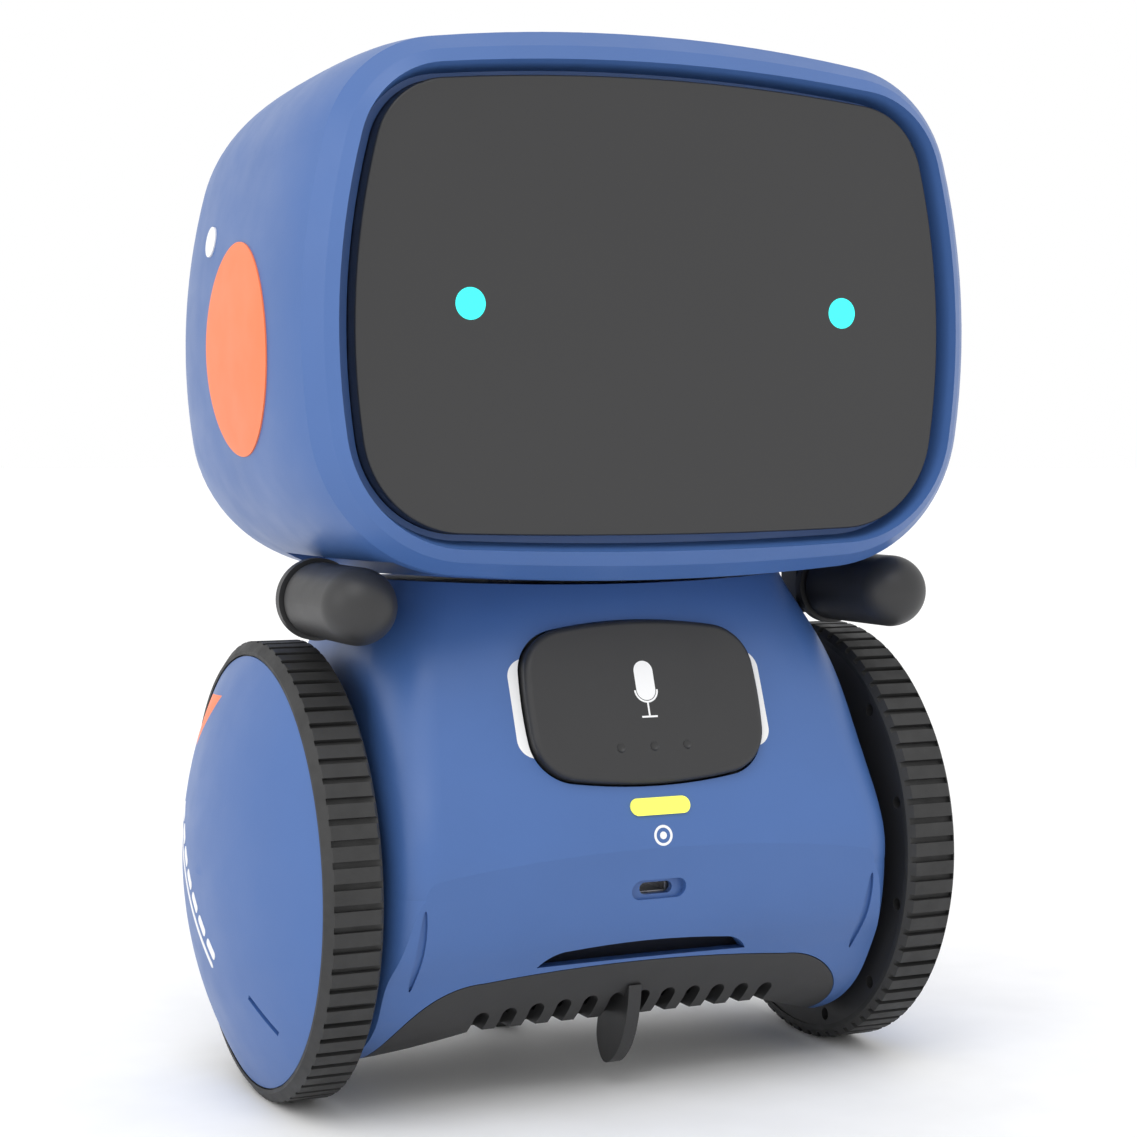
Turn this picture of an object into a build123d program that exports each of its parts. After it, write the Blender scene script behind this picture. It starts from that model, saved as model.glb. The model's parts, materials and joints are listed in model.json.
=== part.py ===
from build123d import *
import math
import os

# A small two-wheeled toy robot. Millimetres. Every sub-part is drawn about the centre of
# the wheel axle: X along the axle, -Y towards the face, +Z up. save() then lifts the piece
# so that the row's origin lies on the floor, under the middle of the whole robot.

# ---------------------------------------------------------------- driving dimensions
WHEEL_R = 31.0          # tread radius, which is also the axle's height
WALL = 1.8              # moulded walls
GAP = 0.1               # seam between two fixed mouldings

# head: outlines are (side z, half width, side r, top z, top r, corner r, bottom z, bottom r, corner r)
SCREEN = (71.9, 42.4, 94.0, 104.8, 289.0, 10.1, 45.7, 797.0, 13.7)
LIP = (72.0, 44.8, 92.0, 106.7, 270.0, 12.4, 43.6, 560.0, 16.4)
BAND = (72.1, 46.3, 91.0, 108.6, 250.0, 14.6, 41.7, 430.0, 18.6)
RIM = (72.2, 48.4, 90.0, 110.75, 228.0, 16.8, 39.7, 331.0, 21.0)
WIDEST = (72.2, 50.5, 90.0, 111.6, 228.0, 19.1, 39.4, 331.0, 20.7)
HEAD_Z = 75.1           # height that the head's sections shrink about
RIM_Y, BAND_Y, LIP_Y, SCREEN_Y = -27.6, -30.2, -31.5, -30.6
BULGE_Y = -14.0         # depth of the widest section
HEAD_BACK = 48.6
BACK_STEPS = (0.28, 0.5, 0.66, 0.78, 0.87, 0.93, 0.97, 0.992)
BACK_POWER = 3.8
DROP = 1.66 / 60        # the sections sink a little towards the back
HEAD_YAW = 10.0         # how far the head turns each way
SEAT_Y = -26.0          # back of the screen's seat
# the overall box runs from the lip to the back of the head, and its middle lies this far
# behind the axle
MIDDLE_Y = (LIP_Y + BULGE_Y + BACK_STEPS[-1] * (HEAD_BACK - BULGE_Y)) / 2

EAR_Y, EAR_Z, EAR_R, EAR_DEEP = -6.3, 69.9, 14.0, 13.0      # half height and half depth
EAR_PROUD, EAR_DEPTH = 1.004, 0.97      # the ear's faces, as widths of the head
DOT_Y, DOT_Z, DOT_R = 7.8, 85.0, 2.1
DOT_PROUD, DOT_DEPTH = 0.12, 1.0
EYE_X, EYE_Z, EYE_R = 27.06, 75.2, 2.05

# torso: (z, half width, half depth, side r, front r, corner r), from the axle up to the neck.
# The first row is also the section of the round lower body, which turns it about the axle.
TORSO = (
    (0.0, 37.0, 30.9, 20000.0, 838.0, 5.3),
    (7.0, 36.9, 30.9, 1500.0, 520.0, 6.0),
    (13.0, 36.8, 28.9, 500.0, 330.0, 7.0),
    (20.0, 36.6, 26.3, 220.0, 210.0, 8.0),
    (26.0, 35.9, 24.3, 120.0, 150.0, 8.6),
    (32.0, 34.0, 21.9, 70.0, 110.0, 9.0),
    (37.0, 31.7, 19.5, 45.0, 85.0, 9.0),
    (41.5, 30.0, 17.4, 40.0, 80.0, 9.0),
)
TORSO_TOP = 38.0        # under the middle of the head
NECK_ROOM, NECK_SPREAD = 0.5, 1.12      # clearance under the head, and room for its turn
TORSO_X = TORSO[0][1]
LIP_Z = -11.7           # top edge of the dark pan at the middle of the front
LIP_SAG, LIP_HALF, LIP_CORNER = 1.2, 34.5, 12.0
SLOTS, SLOT_PITCH, SLOT_WIDTH, SLOT_TOP = 12, 3.9, 2.1, -16.4
BELLY_Z, BELLY_X = -20.5, 22.0
CHEEK_Z, CHEEK_X = -25.6, 37.5
FOOT_Y = 26.2           # middle of the tail's foot

# wheels
TREAD_IN, TREAD_OUT = 38.7, 46.2
HUB_R = 29.2            # the tyre is stretched over the hub
GROOVES, GROOVE_WIDTH, TREAD_DEPTH = 72, 0.85, 0.75
DOME_X, DOME_TOP, DOME_R = 46.4, 54.0, 29.0
AXLE_R, BUSH_R = 1.5, 3.6
RUN = 0.05              # radial clearance of a running shaft

# gears, 0.5 module at 25 degrees so that twelve teeth need no undercut
MODULE, PRESSURE = 0.5, math.radians(25)
PINION_T, IDLER_T, IDLER_PINION_T, OUTPUT_T = 12, 36, 12, 40
BACKLASH = 0.12
IDLER_ANGLE, PINION_ANGLE = 50.0, 118.0
IDLER_D = MODULE * (IDLER_PINION_T + OUTPUT_T) / 2
PINION_D = MODULE * (PINION_T + IDLER_T) / 2
IDLER_YZ = (IDLER_D * math.cos(math.radians(IDLER_ANGLE)), IDLER_D * math.sin(math.radians(IDLER_ANGLE)))
PINION_YZ = (
    IDLER_YZ[0] + PINION_D * math.cos(math.radians(PINION_ANGLE)),
    IDLER_YZ[1] + PINION_D * math.sin(math.radians(PINION_ANGLE)),
)
PLATE_IN, PLATE_OUT, PLATE_T = 24.6, 32.8, 1.6
OUTPUT_X, OUTPUT_W = 29.9, 2.6
IDLER_X, IDLER_W = 27.0, 2.4

# record button on the sloping chest
CHEST_TILT = 19.7
CHEST_Y, CHEST_Z = -25.15, 23.3
BUTTON_W, BUTTON_H, BUTTON_CORNER, BUTTON_PROUD = 34.3, 22.4, 6.4, 1.2

# arms
ARM_X, ARM_Z, BALL_Y, BALL_R = 39.6, 37.0, -23.4, 5.0
FLANGE_Y, FLANGE_R, NECK_R = -7.2, 5.5, 4.6
ARM_PIN_Y, ARM_PIN_R = -3.0, 1.2

os.makedirs("parts", exist_ok=True)


# ---------------------------------------------------------------- helpers
def save(name, shape):
    """Writes one node, moved from the axle's frame to the row's."""
    placed = Pos(0, -MIDDLE_Y, WHEEL_R) * shape
    placed.label = name
    export_step(placed, f"parts/{name}.step")


def save_pair(name, shape):
    """Writes the right-hand piece and its mirror image on the left."""
    save(f"{name}_right", shape)
    save(f"{name}_left", shape.mirror(Plane.YZ))


def group(*shapes):
    """Several separate solids in one node."""
    return Compound(children=[s for shape in shapes for s in shape.solids()])


def rod(r, x0, x1, y=0.0, z=0.0):
    """A cylinder along X."""
    return Pos((x0 + x1) / 2, y, z) * Rot(0, 90, 0) * Cylinder(r, abs(x1 - x0))


def rod_y(r, y0, y1, x=0.0, z=0.0):
    return Pos(x, (y0 + y1) / 2, z) * Rot(90, 0, 0) * Cylinder(r, abs(y1 - y0))


def rod_z(r, z0, z1, x=0.0, y=0.0):
    return Pos(x, y, (z0 + z1) / 2) * Cylinder(r, abs(z1 - z0))


def block(x0, x1, y0, y1, z0, z1):
    size = (abs(x1 - x0), abs(y1 - y0), abs(z1 - z0))
    return Pos((x0 + x1) / 2, (y0 + y1) / 2, (z0 + z1) / 2) * Box(*size)


def corner_centre(side_c, side_r, end_c, end_r, corner_r, up):
    """Centre of the corner arc that is tangent inside both the side arc and the end arc."""
    ra, rb = side_r - corner_r, end_r - corner_r
    dx, dy = end_c[0] - side_c[0], end_c[1] - side_c[1]
    d = math.hypot(dx, dy)
    along = (ra * ra - rb * rb + d * d) / (2 * d)
    off = math.sqrt(ra * ra - along * along)
    ex, ey = dx / d, dy / d
    points = [(side_c[0] + along * ex - k * off * ey, side_c[1] + along * ey + k * off * ex) for k in (1, -1)]
    return max(points, key=lambda p: p[0] + up * p[1])


def crowned(plane, side_y, half, side_r, top, top_r, top_corner, bottom, bottom_r, bottom_corner):
    """A face on plane with a crowned outline: eight tangent arcs, mirror-symmetric in its X."""
    side_c, top_c, bottom_c = (half - side_r, side_y), (0.0, top - top_r), (0.0, bottom + bottom_r)
    upper = corner_centre(side_c, side_r, top_c, top_r, top_corner, 1)
    lower = corner_centre(side_c, side_r, bottom_c, bottom_r, bottom_corner, -1)

    def touch(centre, radius, corner):
        k = radius / math.hypot(corner[0] - centre[0], corner[1] - centre[1])
        return (centre[0] + (corner[0] - centre[0]) * k, centre[1] + (corner[1] - centre[1]) * k)

    def middle(centre, radius, a, b):
        mx, my = (a[0] + b[0]) / 2 - centre[0], (a[1] + b[1]) / 2 - centre[1]
        k = radius / math.hypot(mx, my)
        return (centre[0] + mx * k, centre[1] + my * k)

    t, s1 = touch(top_c, top_r, upper), touch(side_c, side_r, upper)
    s2, b = touch(side_c, side_r, lower), touch(bottom_c, bottom_r, lower)
    right = [
        (t, middle(upper, top_corner, t, s1), s1),
        (s1, (half, side_y), s2),
        (s2, middle(lower, bottom_corner, s2, b), b),
    ]

    def flip(p):
        return (-p[0], p[1])

    left = [tuple(flip(p) for p in reversed(arc)) for arc in reversed(right)]
    arcs = right + [(b, (0, bottom), flip(b))] + left + [(flip(t), (0, top), t)]
    return plane * make_face([ThreePointArc(*arc) for arc in arcs])


def face_plane(y):
    """A plane at depth y whose local X is the row's X and local Y is up."""
    return Plane(origin=(0, y, 0), x_dir=(1, 0, 0), z_dir=(0, -1, 0))


def outline_at(y, outline, shrink=0.0, scale=1.0, centre=HEAD_Z):
    """One of the head's outlines at depth y, shrunk evenly by its arcs, then scaled about centre."""
    side_z, half, side_r, top, top_r, top_corner, bottom, bottom_r, bottom_corner = outline

    def z(value):
        return centre + (value - HEAD_Z) * scale

    return crowned(
        face_plane(y), z(side_z), (half - shrink) * scale, (side_r - shrink) * scale,
        z(top - shrink), (top_r - shrink) * scale, (top_corner - shrink) * scale,
        z(bottom + shrink), (bottom_r - shrink) * scale, (bottom_corner - shrink) * scale,
    )


# ---------------------------------------------------------------- head
def head_outline(y):
    """The head's outline at depth y, which swells from the rim to the widest section."""
    swell = 1 - ((BULGE_Y - min(y, BULGE_Y)) / (BULGE_Y - RIM_Y)) ** 2
    return tuple(a + (b - a) * swell for a, b in zip(RIM, WIDEST))


def head_scale(y, back):
    u = max(0.0, (y - BULGE_Y) / (back - BULGE_Y))
    return (1 - u ** BACK_POWER) ** (1 / BACK_POWER)


def head_solid(inset=0.0):
    """The rounded box of the head behind its rim, or its hollow when inset."""
    back = HEAD_BACK - inset
    depths = [RIM_Y, (RIM_Y + BULGE_Y) / 2, BULGE_Y] + [BULGE_Y + u * (back - BULGE_Y) for u in BACK_STEPS]
    faces = [
        outline_at(y, head_outline(y), inset, head_scale(y, back), HEAD_Z - DROP * (y - RIM_Y)) for y in depths
    ]
    return loft(faces)


def arm_relief(extra=0.0):
    """Flat-topped hollows under the head's lower corners, as wide as the arms and shoulders
    sweep when the head turns."""
    front, back = SEAT_Y + 0.1, 8.0 + extra
    corners = [(29.6 - extra, front), (52.0, front), (52.0, back), (33.2 - extra, back)]
    fan = extrude(Pos(0, 0, 30) * make_face(Polyline(*corners, close=True)), amount=ARM_Z + BALL_R + 0.6 + extra - 30)
    return fan + fan.mirror(Plane.YZ)


NECK_HOLE_R, NECK_POST_R = 8.05, 8.0
NECK_FLANGE_R, NECK_TOP = 12.5, 42.4
HEAD_STOP = 25.0        # angle from the lug to each stop pillar
CLIP_Z, STOP_R = 31.9, 10.6


def widened(shape, k):
    return scale(shape, by=(k, 1, 1))


def ear_dot():
    """A flush round dot above the ear, square to the head's surface, and the bore it sits in."""
    side_z, half, side_r = head_outline(DOT_Y)[:3]
    lean = math.asin((DOT_Z - side_z) / side_r)
    surface = half * head_scale(DOT_Y, HEAD_BACK) - side_r * (1 - math.cos(lean))
    seat = Pos(surface, DOT_Y, DOT_Z) * Rot(0, 90 - math.degrees(lean), 0)
    reach = 6.0
    bore = seat * Pos(0, 0, (reach - DOT_DEPTH) / 2) * Cylinder(DOT_R, reach + DOT_DEPTH)
    dot = seat * Pos(0, 0, (DOT_PROUD - DOT_DEPTH) / 2) * Cylinder(DOT_R - 0.02, DOT_PROUD + DOT_DEPTH - 0.02)
    return dot, bore


def head_parts():
    outer = head_solid()
    hollow = head_solid(WALL) - arm_relief(1.2)
    shell = outer - arm_relief() - hollow - rod_z(NECK_POST_R, 30, 45)
    ear_bore = Pos(0, EAR_Y, EAR_Z) * scale(rod(EAR_R, 30, 70), by=(1, EAR_DEEP / EAR_R, 1))
    dot, dot_bore = ear_dot()
    ear = (widened(outer, EAR_PROUD) & ear_bore) - widened(outer, EAR_DEPTH)
    shell = shell - ear - ear.mirror(Plane.YZ) - dot_bore - dot_bore.mirror(Plane.YZ)
    save("head_rear_shell", shell)
    save_pair("ear", ear)
    save("ear_dots", group(dot, dot.mirror(Plane.YZ)))

    rim = loft([outline_at(RIM_Y, RIM), outline_at(BAND_Y, BAND), outline_at(LIP_Y, LIP)], ruled=True)
    funnel = loft([outline_at(LIP_Y, LIP), outline_at(RIM_Y, LIP, 1.0)], ruled=True)
    floor = extrude(outline_at(SEAT_Y, RIM, 2.2), amount=SEAT_Y - RIM_Y)
    opening = extrude(outline_at(SEAT_Y + 1, SCREEN, -GAP), amount=10)
    save("head_front_bezel", rim - funnel + floor - opening)

    eye = rod_y(EYE_R, SCREEN_Y, SCREEN_Y + 0.5, EYE_X, EYE_Z)
    eyes = group(eye, eye.mirror(Plane.YZ))
    panel = extrude(outline_at(SEAT_Y, SCREEN), amount=SEAT_Y - SCREEN_Y)
    back_flange = extrude(outline_at(SEAT_Y + 1.4, SCREEN, -2.0), amount=1.4)
    panel = fillet(panel.faces().sort_by(Axis.Y)[0].edges(), 0.35) + back_flange - eyes
    save("screen_panel", panel)
    save("eye_lights", eyes)

    board = block(-33, 33, -20.6, -19.2, 52, 98)
    for x in (-EYE_X, EYE_X):
        board += block(x - 8, x + 8, -23.8, -20.6, EYE_Z - 8, EYE_Z + 8)
    board += block(-7, 7, -19.2, -17.4, 70, 80)
    save("face_board", board)

    standoff = rod_y(2.4, -24.6, -20.6, 15.0, 95.0) + rod_y(2.4, -24.6, -20.6, 15.0, 55.0)
    save("board_standoffs", group(standoff, standoff.mirror(Plane.YZ)))

    screw_x, screw_zs, boss_back = 38.0, (91.0, 59.0), -13.2
    bosses, screws = [], []
    for z in screw_zs:
        screw = rod_y(1.1, -24.4, boss_back, screw_x, z) + rod_y(2.2, boss_back, boss_back + 1.6, screw_x, z)
        boss = rod_y(3.2, -24.5, boss_back, screw_x, z) - screw
        bosses += [boss, boss.mirror(Plane.YZ)]
        screws += [screw, screw.mirror(Plane.YZ)]
    save("bezel_bosses", group(*bosses))
    save("bezel_screws", group(*screws))

    touch = rod(7.5, 46.2, 47.4, EAR_Y, EAR_Z)
    save("touch_plates", group(touch, touch.mirror(Plane.YZ)))

    # the neck's tube hangs the head on the torso's collar, with a clip in its groove and a
    # lug that meets the collar's stops
    flange = rod_z(NECK_FLANGE_R, TORSO_TOP, NECK_TOP) & hollow
    tube = rod_z(NECK_POST_R, 30.6, NECK_TOP) + flange - rod_z(6.0, 20, 50)
    groove = rod_z(12, CLIP_Z - 0.05, CLIP_Z + 0.85) - rod_z(7.2, 20, 50) - block(-2, 2, 5, 12, 30, 40)
    lug = (block(-1.6, 1.6, 6.5, 12, 30.6, 32.8) & rod_z(STOP_R, 30, 34)) - rod_z(6.0, 20, 50)
    save("neck_post", tube + lug - groove)
    clip = rod_z(9.4, CLIP_Z, CLIP_Z + 0.8) - rod_z(7.25, 20, 50) - block(-2.6, 2.6, 4, 12, 30, 40)
    save("neck_clip", clip)


# ---------------------------------------------------------------- torso
def torso_section(z, half, depth, side_r, front_r, corner, inset=0.0):
    plane = Plane(origin=(0, 0, z), x_dir=(1, 0, 0), z_dir=(0, 0, 1))
    d, r = depth - inset, front_r - inset
    return crowned(plane, 0.0, half - inset, side_r - inset, d, r, corner - inset, -d, r, corner - inset)


def drum(inset=0.0):
    """The round lower half of the body: the torso's first section, turned about the axle."""
    section = torso_section(*TORSO[0], inset=inset)
    rear_half = section & Pos(0, 50) * Rectangle(200, 100)
    return revolve(rear_half, Axis((0, 0, 0), (-1, 0, 0)), 180)


def nose_cut(deeper=0.0):
    """What is cut off the drum low at the front, where the body tucks in over the pan."""
    points = [(-32.3, 8.0), (-29.9, -1.0), (-27.4, -8.0), (-24.5, -12.0), (-21.6, -16.7), (-14.0, -22.9),
              (-4.0, -26.4), (8.0, -28.4)]
    line = Spline(*points)
    outside = Polyline(points[-1], (8.0, -50.0), (-60.0, -50.0), (-60.0, 8.0), points[0])
    side = Plane(origin=(0, 0, 0), x_dir=(0, 1, 0), z_dir=(1, 0, 0))
    return Pos(0, deeper, deeper * 0.4) * extrude(side * make_face([line, outside]), amount=60, both=True)


def belly_cut(higher=0.0):
    """The arch under the body, between the two cheeks."""
    lean = 0.6 * higher
    points = [
        (-CHEEK_X + lean, CHEEK_Z), (-BELLY_X, BELLY_Z), (BELLY_X, BELLY_Z), (CHEEK_X - lean, CHEEK_Z),
        (CHEEK_X - lean, -45), (-CHEEK_X + lean, -45),
    ]
    profile = make_face(Polyline(*points, close=True))
    return Pos(0, 0, higher) * extrude(face_plane(0) * profile, amount=60, both=True)


def pan_region(grow=0.0):
    """The space below the lip, which the dark pan takes and the blue shells leave."""
    half, corner, bottom = LIP_HALF + grow, LIP_CORNER, -40.0
    shoulder, top = half - corner, LIP_Z + grow
    low = top - LIP_SAG
    turn = corner * math.sqrt(0.5)
    lines = [
        ThreePointArc((-shoulder, low), (0, top), (shoulder, low)),
        ThreePointArc((shoulder, low), (shoulder + turn, low - corner + turn), (half, low - corner)),
        Polyline((half, low - corner), (half, bottom), (-half, bottom), (-half, low - corner)),
        ThreePointArc((-half, low - corner), (-shoulder - turn, low - corner + turn), (-shoulder, low)),
    ]
    front = Pos(0, -10, 0) * extrude(face_plane(0) * make_face(lines), amount=40)
    level = BELLY_Z + WALL + 0.6 + grow
    side = half - 0.8
    slope = [
        (-side, CHEEK_Z + 3.6), (-BELLY_X - 1, level), (BELLY_X + 1, level), (side, CHEEK_Z + 3.6),
        (side, bottom), (-side, bottom),
    ]
    back = Pos(0, -10, 0) * extrude(face_plane(0) * make_face(Polyline(*slope, close=True)), amount=-60)
    return front + back


def chest(depth=0.0, up=0.0, across=0.0):
    """A frame on the chest: local X across, local Y up the slope, local Z outwards."""
    lean = math.radians(CHEST_TILT)
    out = (0, -math.cos(lean), math.sin(lean))
    origin = Vector(0, CHEST_Y, CHEST_Z) + Vector(*out) * depth
    return Plane(origin=origin, x_dir=(1, 0, 0), z_dir=out) * Pos(across, up, 0)


def squircle(width, height, corner):
    return crowned(Plane.XY, 0.0, width / 2, width * 1.6, height / 2, height * 3.2, corner,
                   -height / 2, height * 3.2, corner)


def body_solids():
    under_head = widened(head_solid(-NECK_ROOM), NECK_SPREAD)
    upper = loft([torso_section(*row) for row in TORSO]) - under_head
    outer = upper + drum() - nose_cut() - belly_cut()
    rows = TORSO[:-2] + ((TORSO_TOP - WALL, 32.1, 19.9, 50.0, 90.0, 9.0),)
    inner = loft([torso_section(*row, inset=WALL) for row in rows])
    hollow = inner + drum(WALL) - nose_cut(WALL) - belly_cut(WALL)
    return outer, hollow


def torso_parts():
    outer, hollow = body_solids()
    skin = outer - hollow
    pan = skin & pan_region()
    blue = skin - pan_region(GAP)

    # slots of the grille run down and back through the pan's lower edge
    for i in range(SLOTS // 2):
        for side in (-1, 1):
            pan -= slot_cutter(side * (i + 0.5) * SLOT_PITCH)
    fin = front_fin()
    skid = rear_skid()
    save("chin_grille", pan - fin)
    save("front_fin", fin)
    save("rear_skid", skid)

    # white strip, status light, record button, port and slit in the blue shell
    inward = Vector(0, math.cos(math.radians(CHEST_TILT)), -math.sin(math.radians(CHEST_TILT)))

    def inlay(prism, depth, proud=0.0):
        """The part of prism between the outer surface and the same surface sunk by depth."""
        return (prism & Pos(*(inward * -proud)) * outer) - Pos(*(inward * depth)) * outer

    strip = inlay(extrude(chest(-4) * RectangleRounded(37.4, 13.6, 2.6), amount=8), 0.5)
    button_hole = extrude(chest(-6) * squircle(BUTTON_W + 0.6, BUTTON_H + 0.6, BUTTON_CORNER), amount=10)
    strip -= button_hole
    blue = blue - button_hole - strip
    save("button_strip", group(strip))

    lens = inlay(extrude(face_plane(-40) * Pos(0, 10.0) * SlotOverall(8.72, 2.17), amount=-20), 1.0, 0.25)
    blue -= lens
    save("status_lens", lens)

    ring_shape = Circle(1.35) - Circle(1.0) + Circle(0.5)
    ring = extrude(face_plane(-40) * Pos(0, 6.2) * ring_shape, amount=-20)
    mark = inlay(ring, 0.3)
    blue -= mark
    save("record_mark", group(mark))

    port_recess = extrude(face_plane(-40) * Pos(0, -1.1) * SlotOverall(8.0, 2.7), amount=-11.2)
    port_hole = extrude(face_plane(-40) * Pos(0, -1.1) * SlotOverall(4.8, 1.6), amount=-20)
    blue = blue - port_recess - port_hole
    socket = block(-4.2, 4.2, -27.4, -20.6, -3.0, 0.8) - block(-2.0, 2.0, -28, -22.4, -1.7, -0.5)
    save("charge_socket", socket & Pos(0, 0.3, 0) * hollow)

    slit = make_face([
        ThreePointArc((-15.6, -11.2), (-14.3, -9.9), (-11.5, -9.0)),
        ThreePointArc((-11.5, -9.0), (0, -8.4), (11.5, -9.0)),
        ThreePointArc((11.5, -9.0), (14.3, -9.9), (15.6, -11.2)),
        ThreePointArc((15.6, -11.2), (0, -11.1), (-15.6, -11.2)),
    ])
    slit_cut = extrude(face_plane(-40) * slit, amount=-20)
    blue -= slit_cut
    window = block(-17.5, 17.5, -30, -18, -11.6, -7.2)
    backing = (window & Pos(0, WALL + 0.05, 0.3) * outer) - Pos(0, WALL + 1.2, 0.3) * outer
    save("front_sensor_window", backing & hollow)

    for x in (-1, 1):
        blue -= rod(BUSH_R, x * 30, x * 45)
        dimple = extrude(face_plane(-40) * Pos(x * 33.0, -7.2) * Ellipse(0.55, 5.8), amount=-25)
        blue -= (dimple & outer) - Pos(0, 0.5, 0) * outer
    collar_hole = rod_z(11.0, 30, 50)
    blue -= collar_hole
    tongue = bracket_tongue(GAP)
    blue = blue - tongue - tongue.mirror(Plane.YZ)
    rear_hole = extrude(face_plane(40) * Pos(0, 12.0) * SlotOverall(12.4, 5.4), amount=20)
    blue -= rear_hole
    save("torso_front_shell", blue & block(-60, 60, -60, 0, -60, 60))
    save("torso_rear_shell", blue & block(-60, 60, 0, 60, -60, 60))


def slot_cutter(x):
    """One grille slot: rounded at the top, open at the pan's lower edge. The outer slots start
    a little lower, as the lip above them does."""
    top = SLOT_TOP - 1.2 * (x / (SLOTS / 2 * SLOT_PITCH)) ** 2
    round_end = Pos(x, top - SLOT_WIDTH / 2) * Circle(SLOT_WIDTH / 2)
    body = Pos(x, top - SLOT_WIDTH / 2 - 4.5) * Rectangle(SLOT_WIDTH, 9.0)
    return extrude(face_plane(-15) * (round_end + body), amount=18)


def blade(points, width):
    """A flat rounded fin in the middle plane, from points (y, z) round its outline."""
    side = Plane(origin=(0, 0, 0), x_dir=(0, 1, 0), z_dir=(1, 0, 0))
    return extrude(side * make_face(Spline(*points, periodic=True)), amount=width / 2, both=True)


def front_fin():
    points = [(-22.8, -15.4), (-21.5, -21.4), (-18.4, -25.9), (-14.6, -27.5), (-12.9, -25.6), (-14.5, -18.6),
              (-18.5, -14.2)]
    return blade(points, 1.9) & block(-5, 5, -40, 0, -40, -15.4)


def rear_skid():
    """The tail that the robot rests on, with a small flat foot."""
    points = [(14.0, -17.0), (17.5, -25.0), (22.5, -30.3), (28.0, -30.6), (30.2, -27.0), (27.5, -20.8), (20.5, -16.4)]
    foot = extrude(Plane.XY * Pos(0, FOOT_Y, -WHEEL_R) * SlotOverall(8.6, 6.4, rotation=90), amount=2.0)
    return (blade(points, 3.2) + foot) & block(-5, 5, 0, 40, -40, BELLY_Z)


# ---------------------------------------------------------------- shoulders and arms
def bracket_tongue(grow=0.0):
    """The bracket's foot, which passes through a slot in the torso's side."""
    return block(28.0, 36.8, -5.2 - grow, -0.8 + grow, 32.9 - grow, 34.5 + grow)


def shoulders():
    ear = block(35.0, ARM_X, -5.2, -0.8, 0, 1.6) + Pos(ARM_X, ARM_PIN_Y, 0.8) * Cylinder(2.2, 1.6)
    low, high = Pos(0, 0, 32.9) * ear, Pos(0, 0, 39.2) * ear
    web = block(35.0, 36.8, -5.2, -0.8, 32.9, 40.8)
    bracket = low + high + web + bracket_tongue() - rod_z(ARM_PIN_R, 20, 50, ARM_X, ARM_PIN_Y)
    save_pair("shoulder_bracket", bracket)
    pin = rod_z(ARM_PIN_R, 32.9, 40.8, ARM_X, ARM_PIN_Y)
    save("shoulder_pins", group(pin, pin.mirror(Plane.YZ)))

    arm = Pos(ARM_X, BALL_Y, ARM_Z) * Sphere(BALL_R)
    arm += rod_y(BALL_R, BALL_Y, FLANGE_Y - 1.4, ARM_X, ARM_Z)
    arm += rod_y(NECK_R, FLANGE_Y - 1.5, FLANGE_Y + 0.5, ARM_X, ARM_Z)
    arm += rod_y(FLANGE_R, FLANGE_Y - 0.7, FLANGE_Y + 0.7, ARM_X, ARM_Z)
    low, high = 34.8, 38.9
    knuckle = rod_z(2.2, low, high, ARM_X, ARM_PIN_Y)
    knuckle += block(ARM_X - 2.2, ARM_X + 2.2, FLANGE_Y, ARM_PIN_Y, low, high)
    arm = arm + knuckle - rod_z(ARM_PIN_R + RUN, 20, 50, ARM_X, ARM_PIN_Y)
    save_pair("arm", arm)


# ---------------------------------------------------------------- record button
def record_button():
    face = squircle(BUTTON_W, BUTTON_H, BUTTON_CORNER)
    cap = extrude(chest(-3.0) * face, amount=3.0 + BUTTON_PROUD)
    outward = Vector(0, -math.cos(math.radians(CHEST_TILT)), math.sin(math.radians(CHEST_TILT)))
    front = cap.faces().sort_by(Axis(origin=(0, 0, 0), direction=tuple(outward)))[-1]
    cap = fillet(front.edges(), 0.9)
    dimples = [chest(BUTTON_PROUD + 0.55, -6.4, x) * Sphere(0.85) for x in (-4.9, 0, 4.9)]
    for dimple in dimples:
        cap -= dimple
    icon = SlotOverall(5.4, 2.8, rotation=90)
    icon = Pos(0, 2.6) * icon
    bow = (Circle(1.75) - Circle(1.5)) & Pos(0, -1.5) * Rectangle(6, 3)
    icon += Pos(0, 1.3) * bow + Pos(0, -1.35) * Rectangle(0.25, 2.0) + Pos(0, -2.35) * Rectangle(2.3, 0.25)
    symbol = extrude(chest(BUTTON_PROUD - 0.25) * icon, amount=0.25)
    flange = extrude(chest(-4.2) * squircle(BUTTON_W + 1.8, BUTTON_H + 1.6, BUTTON_CORNER), amount=1.2)
    plunger = extrude(chest(-6.2) * Circle(3.0), amount=3.4)
    save("record_button", cap + flange + plunger - symbol)
    save("microphone_symbol", group(symbol))
    switch = extrude(chest(-10.4) * Rectangle(6.2, 6.2), amount=3.2) + extrude(chest(-7.3) * Circle(1.6), amount=0.25)
    board = extrude(chest(-12.0) * RectangleRounded(40, 26, 2), amount=1.6)
    save("button_switch", switch)
    save("main_board", board + main_chips())


def main_chips():
    chips = extrude(chest(-13.4, 6, -9) * Rectangle(9, 9), amount=1.4)
    chips += extrude(chest(-13.0, -7, 8) * Rectangle(6, 5), amount=1.0)
    chips += extrude(chest(-14.6, 5, 12) * Rectangle(7, 5), amount=2.6)
    return chips


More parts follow.
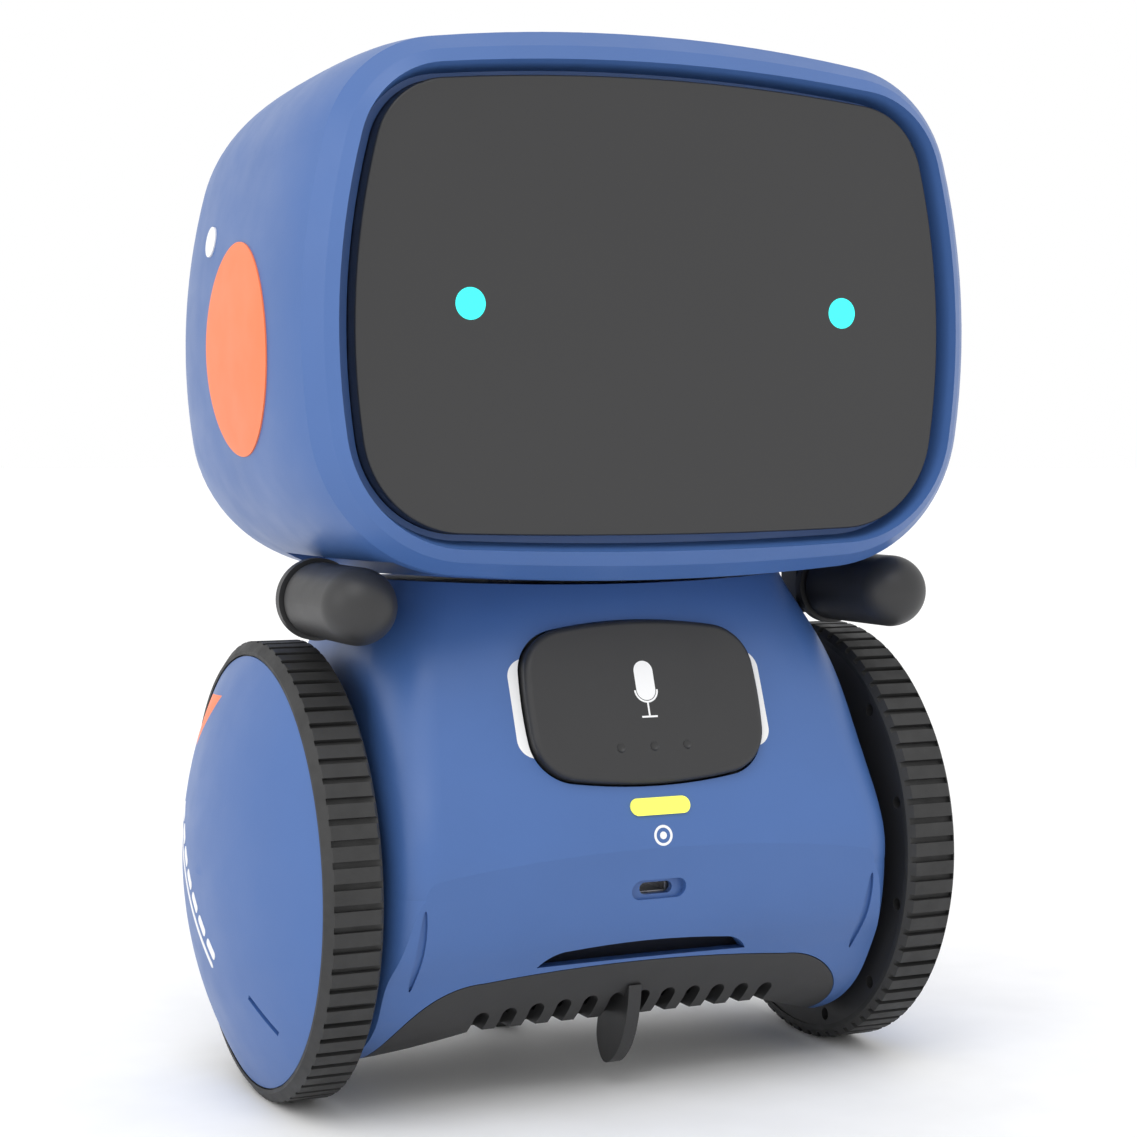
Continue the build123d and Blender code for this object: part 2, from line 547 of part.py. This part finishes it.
# ---------------------------------------------------------------- drive train
def involute_gear(teeth, width, x0, bore, turn=0.0):
    """A spur gear along X. Each flank is an arc through three points of its involute."""
    pitch_r = MODULE * teeth / 2
    base_r = pitch_r * math.cos(PRESSURE)
    tip_r, root_r = pitch_r + 0.9 * MODULE, pitch_r - 1.15 * MODULE
    half_tooth = math.pi / (2 * teeth) - BACKLASH / (4 * pitch_r)

    def involute(r):
        a = math.acos(min(1.0, base_r / r))
        return math.tan(a) - a

    start = involute(pitch_r)
    low_r = max(base_r, root_r + 0.02)

    def at(r, angle):
        return (r * math.cos(angle), r * math.sin(angle))

    blank = Circle(root_r + 0.005)
    radii = [low_r, (low_r + tip_r) / 2, tip_r]
    angles = [half_tooth + start - involute(r) for r in radii]
    up = [at(r, a) for r, a in zip(radii, angles)]
    down = [at(r, -a) for r, a in zip(radii, angles)]
    tooth = make_face([
        ThreePointArc(*down),
        ThreePointArc(down[2], at(tip_r, 0), up[2]),
        ThreePointArc(*reversed(up)),
        Polyline(up[0], at(root_r * 0.9, angles[0] * 0.9), at(root_r * 0.9, -angles[0] * 0.9), down[0]),
    ])
    outline = blank + [Rot(0, 0, turn + i * 360 / teeth) * tooth for i in range(teeth)] - Circle(bore)
    across = Plane(origin=(x0, 0, 0), x_dir=(0, 1, 0), z_dir=(1, 0, 0))
    return extrude(across * outline, amount=width)


def drive_parts():
    iy, iz = IDLER_YZ
    py, pz = PINION_YZ

    # rest angles: the idler's small gear meshes with the output gear along IDLER_ANGLE, and
    # the pinion with the idler's large gear along PINION_ANGLE
    small_turn = IDLER_ANGLE + 180 + 180 / IDLER_PINION_T
    big_turn = PINION_ANGLE
    pinion_turn = PINION_ANGLE + 180 + 180 / PINION_T

    output = involute_gear(OUTPUT_T, OUTPUT_W, OUTPUT_X, AXLE_R, IDLER_ANGLE) + (
        rod(3.2, OUTPUT_X - 1.2, OUTPUT_X) - rod(AXLE_R, 0, 60)
    )
    save_pair("output_gear", output)

    big = Pos(0, iy, iz) * involute_gear(IDLER_T, IDLER_W, IDLER_X, 0.9, big_turn)
    small = Pos(0, iy, iz) * involute_gear(IDLER_PINION_T, OUTPUT_X + OUTPUT_W - IDLER_X - IDLER_W,
                                           IDLER_X + IDLER_W, 0.9, small_turn)
    save_pair("idler_gear", big + small)
    idler_pin = rod(0.9 - RUN, PLATE_IN, PLATE_OUT + PLATE_T, iy, iz)

    shaft = rod(0.75, 21.0, 31.0, py, pz)
    pinion = Pos(0, py, pz) * involute_gear(PINION_T, 3.0, IDLER_X - 0.3, 0.75, pinion_turn)
    save_pair("motor_pinion", pinion + shaft)

    motor = rod(6.0, 9.6, PLATE_IN, py, pz) - rod(0.75 + RUN, 20.0, 40, py, pz) + rod(2.0, 8.4, 9.6, py, pz)
    motor = motor - (rod(7, 11, 22, py, pz) - block(0, 40, py - 5, py + 5, pz - 9, pz + 9))
    save_pair("drive_motor", motor)

    frame_holes = rod(AXLE_R + RUN, 20, 40) + rod(1.6, 20, 30, py, pz) + rod(0.9 - RUN, 20, 40, iy, iz)
    outline = make_hull(
        (Circle(6.0).edges() + (Pos(iy, iz) * Circle(12.0)).edges() + (Pos(py, pz) * Circle(6.6)).edges())
    )
    across = Plane(origin=(PLATE_IN, 0, 0), x_dir=(0, 1, 0), z_dir=(1, 0, 0))
    plate = extrude(across * outline, amount=PLATE_T)
    posts = [(iy + 11.0, iz + 2.0), (-4.6, iz + 3.0)]
    side = plate + Pos(PLATE_OUT - PLATE_IN, 0, 0) * (plate & block(0, 40, -12, 30, -10, 16))
    for y, z in posts:
        side += rod(1.4, PLATE_IN, PLATE_OUT + PLATE_T, y, z)
    save_pair("gearbox_frame", side - frame_holes)
    save("idler_pins", group(idler_pin, idler_pin.mirror(Plane.YZ)))

    axle = rod(AXLE_R, PLATE_IN, TREAD_IN + 5.6)
    save_pair("wheel_axle", axle)
    inner_face = TORSO_X - WALL
    flange_face = inner_face - 2 * GAP
    bush = rod(BUSH_R - RUN, flange_face, TORSO_X) + rod(4.8, flange_face - 0.4, flange_face)
    bush -= rod(AXLE_R + RUN, 30, 40)
    save("axle_bushes", group(bush, bush.mirror(Plane.YZ)))


# ---------------------------------------------------------------- wheels
def ring_x(r_out, r_in, x0, x1):
    return rod(r_out, x0, x1) - rod(r_in, x0 - 1, x1 + 1)


def wheels():
    profile = make_face(Polyline(
        (TREAD_IN, HUB_R), (TREAD_IN, WHEEL_R - 1.1), (TREAD_IN + 0.7, WHEEL_R), (TREAD_OUT - 0.7, WHEEL_R),
        (TREAD_OUT + 0.3, WHEEL_R - 1.3), (TREAD_OUT + 0.3, HUB_R), close=True,
    ))
    tyre = revolve(profile, Axis.X, 360)
    tool = Pos(0, WHEEL_R) * Rectangle(GROOVE_WIDTH, 2 * TREAD_DEPTH)
    tools = Sketch() + [Rot(0, 0, i * 360 / GROOVES) * tool for i in range(GROOVES)]
    across = Plane(origin=(TREAD_IN - 1, 0, 0), x_dir=(0, 1, 0), z_dir=(1, 0, 0))
    tyre -= extrude(across * tools, amount=TREAD_OUT - TREAD_IN + 0.4)
    save_pair("tyre", tyre)

    rim = rod(HUB_R, TREAD_IN + 0.2, TREAD_IN + 2.0) + ring_x(HUB_R, 27.2, TREAD_IN + 0.2, DOME_X - 0.4)
    rim += rod(4.0, TREAD_IN + 0.2, TREAD_IN + 5.6)
    spoke = block(TREAD_IN + 2.0, TREAD_IN + 4.0, -0.8, 0.8, 3.0, 27.4)
    for i in range(6):
        rim += Rot(60 * i, 0, 0) * spoke
    hole_angle, hole_ring = 15.7, 27.6
    for i in range(12):
        angle = math.radians(hole_angle + 30 * i)
        rim -= rod(0.9, TREAD_IN, TREAD_IN + 1.6, -hole_ring * math.cos(angle), hole_ring * math.sin(angle))
    rim -= rod(AXLE_R, 30, TREAD_IN + 5.6)
    save_pair("wheel_hub", rim)

    height = DOME_TOP - DOME_X
    dome_r = (DOME_R ** 2 + height ** 2) / (2 * height)
    inner_top, inner_r = DOME_TOP - 1.6, DOME_R - 1.6
    face = make_face([
        Line((DOME_X - 0.4, 0.0), (DOME_X - 0.4, DOME_R)),
        Line((DOME_X - 0.4, DOME_R), (DOME_X, DOME_R)),
        ThreePointArc(
            (DOME_X, DOME_R),
            (DOME_TOP - dome_r + math.sqrt(dome_r ** 2 - (DOME_R / 2) ** 2), DOME_R / 2),
            (DOME_TOP, 0.0),
        ),
        Line((DOME_TOP, 0.0), (DOME_X - 0.4, 0.0)),
    ])
    dome = revolve(face, Axis.X, 360)
    cover = dome - (Pos(-1.6, 0, 0) * dome & rod(26.2, 40, 60)) + ring_x(27.1, 25.8, DOME_X - 3.4, DOME_X - 0.4)
    start, end = (-12.2, -14.3), (-17.0, -18.4)
    middle = ((start[0] + end[0]) / 2, (start[1] + end[1]) / 2)
    length = math.dist(start, end)
    slope = math.degrees(math.atan2(end[1] - start[1], end[0] - start[0]))
    across = Plane(origin=(40, 0, 0), x_dir=(0, 1, 0), z_dir=(1, 0, 0))
    slot = extrude(across * (Pos(*middle) * Rot(0, 0, slope) * Rectangle(length, 0.9)), amount=30)
    shallow = dome - Pos(-0.6, 0, 0) * dome
    cover -= slot & shallow
    badge_shape = make_face(Polyline((5.6, 23.3), (14.2, 15.6), (20.0, 18.6), (15.5, 22.6), close=True))
    badge = extrude(across * badge_shape, amount=30) & (dome - Pos(-0.4, 0, 0) * dome)
    cover -= badge
    save_pair("wheel_cover", cover)
    save_pair("cover_badge", badge)


# ---------------------------------------------------------------- rest of the inside
def inside_parts():
    battery = block(-17, 17, 14.8, 21.8, -15, 8)
    save("battery_pack", fillet(battery.edges().filter_by(Axis.X), 2.4))
    speaker = rod_z(10.0, -15.0, -13.0, 0, -7.6) + rod_z(5.0, -13.0, -9.6, 0, -7.6)
    save("speaker", speaker)
    collar = rod_z(14.0, 33.0, TORSO_TOP - WALL) + rod_z(11.0, 33.0, TORSO_TOP) - rod_z(NECK_HOLE_R, 20, 50)
    for angle in (90 - HEAD_STOP, 90 + HEAD_STOP):
        a = math.radians(angle)
        collar += rod_z(1.0, 30.8, 33.0, STOP_R * math.cos(a), STOP_R * math.sin(a))
    save("neck_collar", collar)

    travel = 2.0
    knob_x = -travel / 2
    slider = block(knob_x - 2.4, knob_x + 2.4, 26.0, 30.6, 10.4, 13.6)
    for i in range(3):
        slider -= block(knob_x - 1.5 + i * 1.3, knob_x - 1.1 + i * 1.3, 30.2, 31.0, 10.0, 14.0)
    save("power_slider", slider)
    frame = block(-7.6, 7.6, 22.0, 25.8, 8.6, 15.4)
    save("power_switch_body", frame)


head_parts()
torso_parts()
shoulders()
record_button()
drive_parts()
wheels()
inside_parts()
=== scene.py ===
"""The looks of a small two-wheeled toy robot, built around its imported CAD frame.

Metres, in the frame's own axes: -Y is the way the face looks, +Z is up, and +X is to the right
as seen from the front. A piece called left is on the left as seen from the front, at -X.
"""
import json
import math

import bmesh
import bpy
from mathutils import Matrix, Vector


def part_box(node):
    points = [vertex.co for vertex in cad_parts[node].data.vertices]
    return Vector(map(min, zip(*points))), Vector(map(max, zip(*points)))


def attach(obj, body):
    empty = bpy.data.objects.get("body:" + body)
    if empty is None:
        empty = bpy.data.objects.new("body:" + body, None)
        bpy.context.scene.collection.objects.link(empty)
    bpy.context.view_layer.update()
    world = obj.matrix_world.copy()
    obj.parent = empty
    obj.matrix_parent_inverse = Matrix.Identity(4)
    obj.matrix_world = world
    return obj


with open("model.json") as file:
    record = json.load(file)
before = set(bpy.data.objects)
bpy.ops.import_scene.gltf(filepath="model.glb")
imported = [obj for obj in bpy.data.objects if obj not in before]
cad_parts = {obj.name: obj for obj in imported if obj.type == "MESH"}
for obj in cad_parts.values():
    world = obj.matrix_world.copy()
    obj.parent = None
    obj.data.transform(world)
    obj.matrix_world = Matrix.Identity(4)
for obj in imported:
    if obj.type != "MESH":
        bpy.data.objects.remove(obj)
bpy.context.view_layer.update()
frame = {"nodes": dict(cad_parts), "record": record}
NODES = frame["nodes"]
MM = 0.001

# The camera, solved from the photograph's edges: its place is in mm from the middle of the axle
SENSOR_WIDTH = 36.0
LENS = 75.5
CAMERA_PLACE = Vector((-141.78, -308.53, 57.33))
CAMERA_LOOK = Vector((0.4184, 0.9068, -0.0513))
CLIP_NEAR, CLIP_FAR = 0.01, 40.0

FLOOR_RADIUS = 9.0
FLOOR_SIDES = 96
SKY_STRENGTH = 1.0
AIM = (0.0, 0.0, 0.07)
KEY_PLACE, KEY_POWER, KEY_ANGLE = (-0.35, -0.5, 1.1), 0.8, math.radians(40)
FILL_PLACE, FILL_POWER, FILL_SIZE = (-0.7, -0.1, 0.35), 0.8, 0.5


# ---------------------------------------------------------------- materials
# the span of noise values that a range of colour or roughness is spread over
NOISE_LOW, NOISE_HIGH = 0.3, 0.7


def srgb(red, green, blue):
    """Linear colour from 0 to 255 display values."""
    def linear(value):
        value /= 255
        return value / 12.92 if value <= 0.04045 else ((value + 0.055) / 1.055) ** 2.4
    return (linear(red), linear(green), linear(blue), 1.0)


def shaded(colour, factor):
    """The same hue, lighter or darker."""
    return (colour[0] * factor, colour[1] * factor, colour[2] * factor, 1.0)


class Paint:
    """A principled material with helpers for the few node patterns used here."""

    def __init__(self, name, colour, roughness, **sockets):
        self.material = bpy.data.materials.new(name)
        self.material.use_nodes = True
        self.tree = self.material.node_tree
        self.shader = self.tree.nodes["Principled BSDF"]
        self.colour = colour
        self.shader.inputs["Base Color"].default_value = colour
        self.shader.inputs["Roughness"].default_value = roughness
        for socket, value in sockets.items():
            self.shader.inputs[socket.replace("_", " ")].default_value = value
        self.coords = self.tree.nodes.new("ShaderNodeTexCoord")
        self.bump_chain = None

    def link(self, a, b):
        self.tree.links.new(a, b)

    def noise(self, scale, detail=3.0, roughness=0.5):
        node = self.tree.nodes.new("ShaderNodeTexNoise")
        node.inputs["Scale"].default_value = scale
        node.inputs["Detail"].default_value = detail
        node.inputs["Roughness"].default_value = roughness
        self.link(self.coords.outputs["Object"], node.inputs["Vector"])
        return node.outputs["Fac"]

    def ramp(self, source, stops):
        node = self.tree.nodes.new("ShaderNodeValToRGB")
        ramp = node.color_ramp
        while len(ramp.elements) < len(stops):
            ramp.elements.new(0.5)
        for element, (place, colour) in zip(ramp.elements, stops):
            element.position = place
            element.color = colour
        self.link(source, node.inputs["Fac"])
        return node.outputs["Color"]

    def vary_colour(self, scale, spread):
        """Cloudy light and dark drift of the base colour."""
        low, high = shaded(self.colour, 1 - spread), shaded(self.colour, 1 + spread)
        cloud = self.ramp(self.noise(scale), [(NOISE_LOW, low), (NOISE_HIGH, high)])
        self.link(cloud, self.shader.inputs["Base Color"])

    def vary_roughness(self, scale, low, high):
        """Duller and glossier patches."""
        node = self.tree.nodes.new("ShaderNodeMapRange")
        node.inputs["From Min"].default_value = NOISE_LOW
        node.inputs["From Max"].default_value = NOISE_HIGH
        node.inputs["To Min"].default_value = low
        node.inputs["To Max"].default_value = high
        self.link(self.noise(scale), node.inputs["Value"])
        self.link(node.outputs["Result"], self.shader.inputs["Roughness"])

    def bump(self, height, distance, strength=1.0):
        """Adds a bump layer; layers stack."""
        node = self.tree.nodes.new("ShaderNodeBump")
        node.inputs["Distance"].default_value = distance
        node.inputs["Strength"].default_value = strength
        self.link(height, node.inputs["Height"])
        if self.bump_chain:
            self.link(self.bump_chain, node.inputs["Normal"])
        self.bump_chain = node.outputs["Normal"]
        self.link(self.bump_chain, self.shader.inputs["Normal"])


def moulded(name, colour, roughness, grain=2600, depth=0.00002):
    """Injection-moulded plastic: spark-eroded grain, faint flow drift, uneven gloss."""
    paint = Paint(name, colour, roughness)
    paint.vary_colour(60, 0.025)
    paint.vary_roughness(180, roughness - 0.04, roughness + 0.04)
    paint.bump(paint.noise(grain, 2.0), depth, 0.35)
    return paint.material


def glowing(name, colour, strength):
    """A light pipe: its surface still shows the mould grain, and it shines by itself."""
    material = moulded(name, colour, 0.3)
    shader = material.node_tree.nodes["Principled BSDF"]
    shader.inputs["Emission Color"].default_value = colour
    shader.inputs["Emission Strength"].default_value = strength
    return material


def brushed(name, colour, stretch):
    """Drawn or turned metal, with streaks along one axis."""
    paint = Paint(name, colour, 0.3, Metallic=1.0)
    mapping = paint.tree.nodes.new("ShaderNodeMapping")
    mapping.inputs["Scale"].default_value = stretch
    paint.link(paint.coords.outputs["Object"], mapping.inputs["Vector"])
    streaks = paint.noise(900, 4.0)
    paint.link(mapping.outputs["Vector"], streaks.node.inputs["Vector"])
    paint.bump(streaks, 0.00002, 0.4)
    paint.vary_colour(300, 0.06)
    paint.vary_roughness(700, 0.22, 0.38)
    return paint.material


def rubber(name, colour):
    """Tyre rubber: coarse skin, with paler dust in the hollows of its grain."""
    paint = Paint(name, colour, 0.62)
    dust = paint.noise(240, 5.0, 0.65)
    worn = paint.ramp(dust, [
        (0.35, shaded(colour, 0.88)),
        (0.62, shaded(colour, 1.05)),
        (0.8, shaded(colour, 1.35)),
    ])
    paint.link(worn, paint.shader.inputs["Base Color"])
    paint.vary_roughness(420, 0.54, 0.72)
    paint.bump(paint.noise(1500, 3.0), 0.00005, 0.5)
    paint.bump(dust, 0.00004, 0.25)
    return paint.material


def screen_plastic(name, colour):
    """Tinted face panel: nearly smooth, with a fine satin etch and a slow ripple in its gloss."""
    paint = Paint(name, colour, 0.34, Coat_Weight=0.15, Coat_Roughness=0.25)
    paint.vary_colour(22, 0.03)
    paint.vary_roughness(90, 0.31, 0.37)
    paint.bump(paint.noise(5200, 1.0), 0.00001, 0.25)
    return paint.material


MATERIALS = {
    "blue_plastic": moulded("blue_plastic", srgb(66, 101, 160), 0.42),
    "screen": screen_plastic("screen", srgb(40, 40, 41)),
    "eye_glow": glowing("eye_glow", srgb(56, 244, 238), 0.35),
    "orange_plastic": moulded("orange_plastic", srgb(245, 122, 70), 0.46),
    "white_plastic": moulded("white_plastic", srgb(238, 238, 238), 0.45),
    "black_plastic": moulded("black_plastic", srgb(42, 42, 43), 0.46),
    "status_light": glowing("status_light", srgb(250, 250, 96), 0.25),
    "tinted_window": moulded("tinted_window", srgb(30, 30, 32), 0.2),
    "tyre_rubber": rubber("tyre_rubber", srgb(43, 43, 43)),
    "gear_plastic": moulded("gear_plastic", srgb(225, 222, 212), 0.45),
    "steel": brushed("steel", srgb(190, 190, 192), (0.04, 1.0, 1.0)),
    "brass": brushed("brass", srgb(205, 165, 90), (1.0, 0.1, 0.1)),
    "grey_plastic": moulded("grey_plastic", srgb(120, 120, 122), 0.5),
    "circuit_board": moulded("circuit_board", srgb(30, 95, 60), 0.4),
    "battery_wrap": moulded("battery_wrap", srgb(150, 155, 165), 0.4),
}
for part in frame["record"]["subparts"]:
    node = NODES[part["node"]]
    node.data.materials.clear()
    node.data.materials.append(MATERIALS[part["material_slot"]])


# ---------------------------------------------------------------- printed marks on the wheel covers
TYRE_LOW, TYRE_HIGH = (Vector(corner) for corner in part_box("tyre_left"))
AXLE = Vector((0.0, (TYRE_LOW.y + TYRE_HIGH.y) / 2, (TYRE_LOW.z + TYRE_HIGH.z) / 2))
COVER_LOW, COVER_HIGH = (Vector(corner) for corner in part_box("wheel_cover_left"))
DOME_R = (COVER_HIGH.y - COVER_LOW.y) / 2
DOME_TOP = -COVER_LOW.x
DOME_RISE = 7.6 * MM       # the height of the dome above its edge
DOME_BALL = (DOME_R ** 2 + DOME_RISE ** 2) / (2 * DOME_RISE)
INK = 0.06 * MM            # how proud the print stands
INK_ROOT = 0.3 * MM        # how deep its root goes, so that no gap shows on the dome
STATIONS, LANES = 28, 4    # a bar's divisions along and across
MARK_START, MARK_END = Vector((15.9, 6.0)) * MM, Vector((-2.0, -12.3)) * MM
LINE_WIDTH, LINE_CORNER = 0.9 * MM, 0.44 * MM
DASHES, DASH_GAP = 7, 0.9 * MM
DASH_WIDTH, DASH_CORNER = 1.5 * MM, 0.5 * MM
DASH_OFFSET = 2.3          # mm, from the line's middle to the dashes' middle
WELD = 1e-8


def on_dome(side, y, z, lift):
    """A point of the cover's dome, from its place about the axle, raised by lift."""
    x = DOME_TOP - DOME_BALL + math.sqrt(DOME_BALL ** 2 - y * y - z * z) + lift
    return Vector((side * x, AXLE.y + y, AXLE.z + z))


def printed_bar(builder, side, start, direction, length, width, corner):
    """One closed bar of ink with round corners, laid over the dome."""
    across = (-direction[1], direction[0])
    stations = [length * (1 - math.cos(math.pi * i / STATIONS)) / 2 for i in range(STATIONS + 1)]
    layers = []
    for lift in (INK, -INK_ROOT):
        rows = []
        for s in stations:
            near = min(s, length - s)
            half = width / 2
            if near < corner:
                half += math.sqrt(corner ** 2 - (corner - near) ** 2) - corner
            row = []
            for lane in range(LANES + 1):
                t = half * (2 * lane / LANES - 1)
                y = start[0] + direction[0] * s + across[0] * t
                z = start[1] + direction[1] * s + across[1] * t
                row.append(builder.verts.new(on_dome(side, y, z, lift)))
            rows.append(row)
        layers.append(rows)
    top, root = layers

    def quad(*corners):
        builder.faces.new([rows[i][lane] for rows, i, lane in corners])

    for i in range(STATIONS):
        for lane in range(LANES):
            quad((top, i, lane), (top, i + 1, lane), (top, i + 1, lane + 1), (top, i, lane + 1))
            quad((root, i, lane), (root, i, lane + 1), (root, i + 1, lane + 1), (root, i + 1, lane))
        for lane in (0, LANES):
            quad((top, i, lane), (root, i, lane), (root, i + 1, lane), (top, i + 1, lane))
    for i in (0, STATIONS):
        for lane in range(LANES):
            quad((top, i, lane), (top, i, lane + 1), (root, i, lane + 1), (root, i, lane))


def cover_mark(name, side):
    """A plain white underline with a row of short dashes above it, in place of any lettering."""
    direction = (MARK_END - MARK_START).normalized()
    offset = Vector((direction.y, -direction.x)) * DASH_OFFSET * MM
    length = (MARK_END - MARK_START).length
    builder = bmesh.new()
    printed_bar(builder, side, MARK_START, direction, length, LINE_WIDTH, LINE_CORNER)
    dash = (length - DASH_GAP * (DASHES - 1)) / DASHES
    for i in range(DASHES):
        place = MARK_START + offset + direction * i * (dash + DASH_GAP)
        printed_bar(builder, side, place, direction, dash, DASH_WIDTH, DASH_CORNER)
    bmesh.ops.remove_doubles(builder, verts=builder.verts, dist=WELD)
    bmesh.ops.recalc_face_normals(builder, faces=builder.faces)
    mesh = bpy.data.meshes.new(name)
    builder.to_mesh(mesh)
    builder.free()
    mesh.materials.append(MATERIALS["white_plastic"])
    mark = bpy.data.objects.new(name, mesh)
    bpy.context.scene.collection.objects.link(mark)
    return mark


for word, side in (("left", -1), ("right", 1)):
    mark = cover_mark(f"cover_print_{word}", side)
    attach(mark, f"wheel_{word}")


# ---------------------------------------------------------------- camera, floor and light
def camera():
    """The photograph's own view."""
    data = bpy.data.cameras.new("camera")
    data.sensor_width = SENSOR_WIDTH
    data.lens = LENS
    eye = bpy.data.objects.new("camera", data)
    bpy.context.scene.collection.objects.link(eye)
    eye.location = AXLE + CAMERA_PLACE * MM
    eye.rotation_mode = "QUATERNION"
    eye.rotation_quaternion = CAMERA_LOOK.to_track_quat("-Z", "Y")
    data.clip_start, data.clip_end = CLIP_NEAR, CLIP_FAR
    bpy.context.scene.camera = eye


def lamp(name, kind, place, target, power):
    """A light at place, turned towards target."""
    data = bpy.data.lights.new(name, kind)
    data.energy = power
    light = bpy.data.objects.new(name, data)
    bpy.context.scene.collection.objects.link(light)
    light.location = place
    light.rotation_mode = "QUATERNION"
    light.rotation_quaternion = (Vector(target) - Vector(place)).to_track_quat("-Z", "Y")
    return data


def studio():
    """A wide pale floor under an even pale sky, with one broad soft key and a small fill."""
    mesh = bpy.data.meshes.new("floor")
    builder = bmesh.new()
    bmesh.ops.create_circle(builder, cap_ends=True, segments=FLOOR_SIDES, radius=FLOOR_RADIUS)
    builder.to_mesh(mesh)
    builder.free()
    floor = bpy.data.objects.new("floor", mesh)
    bpy.context.scene.collection.objects.link(floor)
    mesh.materials.append(moulded("floor", srgb(248, 248, 248), 0.8, grain=400))
    world = bpy.data.worlds.new("studio")
    bpy.context.scene.world = world
    world.use_nodes = True
    world.node_tree.nodes["Background"].inputs["Color"].default_value = (1.0, 1.0, 1.0, 1.0)
    world.node_tree.nodes["Background"].inputs["Strength"].default_value = SKY_STRENGTH
    key = lamp("key", "SUN", KEY_PLACE, AIM, KEY_POWER)
    key.angle = KEY_ANGLE
    fill = lamp("fill", "AREA", FILL_PLACE, AIM, FILL_POWER)
    fill.shape = "DISK"
    fill.size = FILL_SIZE


camera()
studio()
bpy.context.scene.view_settings.view_transform = "Standard"
